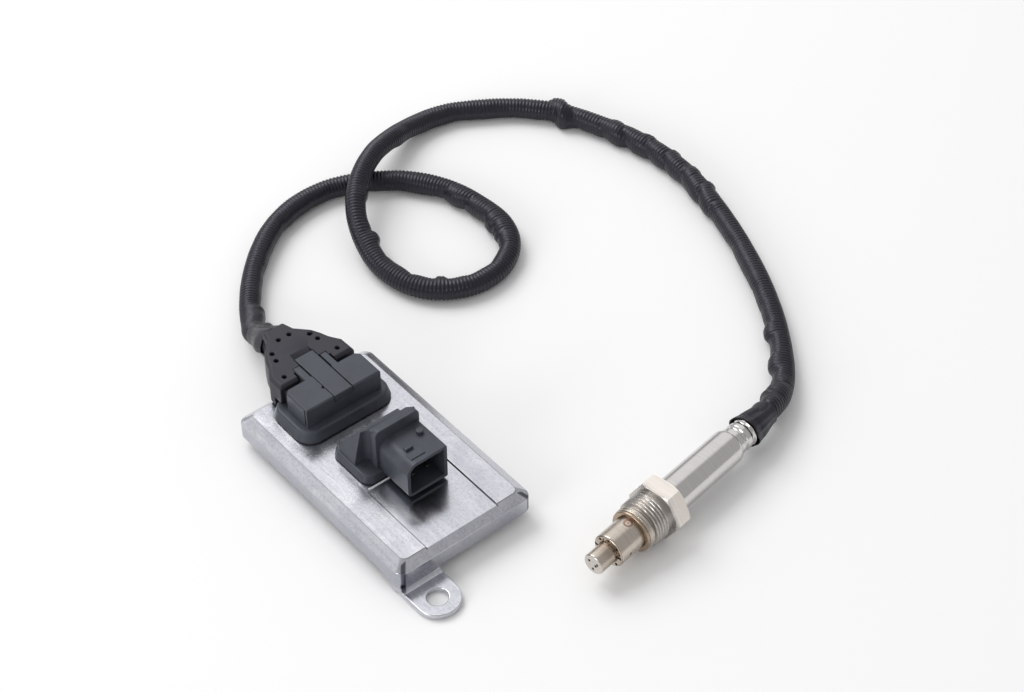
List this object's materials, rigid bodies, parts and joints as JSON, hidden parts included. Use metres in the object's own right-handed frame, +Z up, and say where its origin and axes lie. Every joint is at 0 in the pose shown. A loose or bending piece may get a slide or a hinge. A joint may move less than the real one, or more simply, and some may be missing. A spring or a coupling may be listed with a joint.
{
  "type": "nitrogen oxide sensor",
  "caption": "Exhaust gas sensor: a flat aluminium control unit with a vehicle socket, a harness in ribbed conduit, and a screw-in probe with a free-turning union nut.",
  "frame": {"origin": "centre of the control unit, on the surface that it stands on", "axes": "+X along the control unit towards the mouth of the vehicle socket, +Y towards the probe, +Z up out of the lid"},
  "size_m": [0.269, 0.2528, 0.0378],
  "materials": {
    "cover_aluminium": "drawn aluminium sheet, fine streaks",
    "base_aluminium": "pressed aluminium sheet",
    "seal_rubber": "matte",
    "board_laminate": "lacquered laminate",
    "chip_case": "matte moulding",
    "capacitor_case": "satin can",
    "pin_metal": "tinned",
    "header_plastic": "moulded, fine grain",
    "plug_plastic": "moulded, fine grain",
    "boot_plastic": "moulded, satin",
    "conduit_film": "ribbed conduit under shrink film",
    "cuff_film": "shrink film, gathered",
    "tube_steel": "heat-tinted, brushed round",
    "body_steel": "turned",
    "gasket_bronze": "dull",
    "nut_steel": "nickel plated, satin",
    "sleeve_steel": "drawn, polished",
    "ceramic_white": "matte",
    "powder_grey": "pressed powder",
    "spring_metal": "plated"
  },
  "bodies": {
    "unit": {"housing_cover": "cover_aluminium", "base_plate": "base_aluminium", "base_seal": "seal_rubber", "circuit_board": "board_laminate", "processor_chip": "chip_case", "heater_driver": "chip_case", "buffer_capacitors": "capacitor_case", "sensor_header": "header_plastic", "sensor_header_seal": "seal_rubber", "sensor_header_pins": "pin_metal", "vehicle_header": "header_plastic", "vehicle_header_seal": "seal_rubber", "vehicle_header_pins": "pin_metal", "plug_housing": "plug_plastic", "plug_boot": "boot_plastic", "plug_terminals": "pin_metal", "harness_conduit": "conduit_film", "harness_cuff": "cuff_film", "tip_tube": "tube_steel", "outer_tube": "tube_steel", "sensing_element": "ceramic_white", "front_ceramic": "ceramic_white", "powder_seal": "powder_grey", "rear_ceramic": "ceramic_white", "sensor_body": "body_steel", "gasket_ring": "gasket_bronze", "rear_sleeve": "sleeve_steel", "contact_springs": "spring_metal", "contact_holder": "ceramic_white", "cable_seal": "seal_rubber"},
    "latch": {"plug_latch": "plug_plastic"},
    "nut": {"union_nut": "nut_steel"}
  },
  "joints": [
    {"name": "nut_turn", "type": "hinge", "parent": "unit", "child": "nut", "pos_m": [0.0889, 0.0626, 0.011], "axis": [-0.1495, 0.9888, 0], "continuous": true},
    {"name": "latch_press", "type": "hinge", "parent": "unit", "child": "latch", "pos_m": [-0.036, 0.0003, 0.0277], "axis": [0, -1, 0], "range_deg": [0, 5], "stiffness_Nm_per_rad": 0.5}
  ]
}
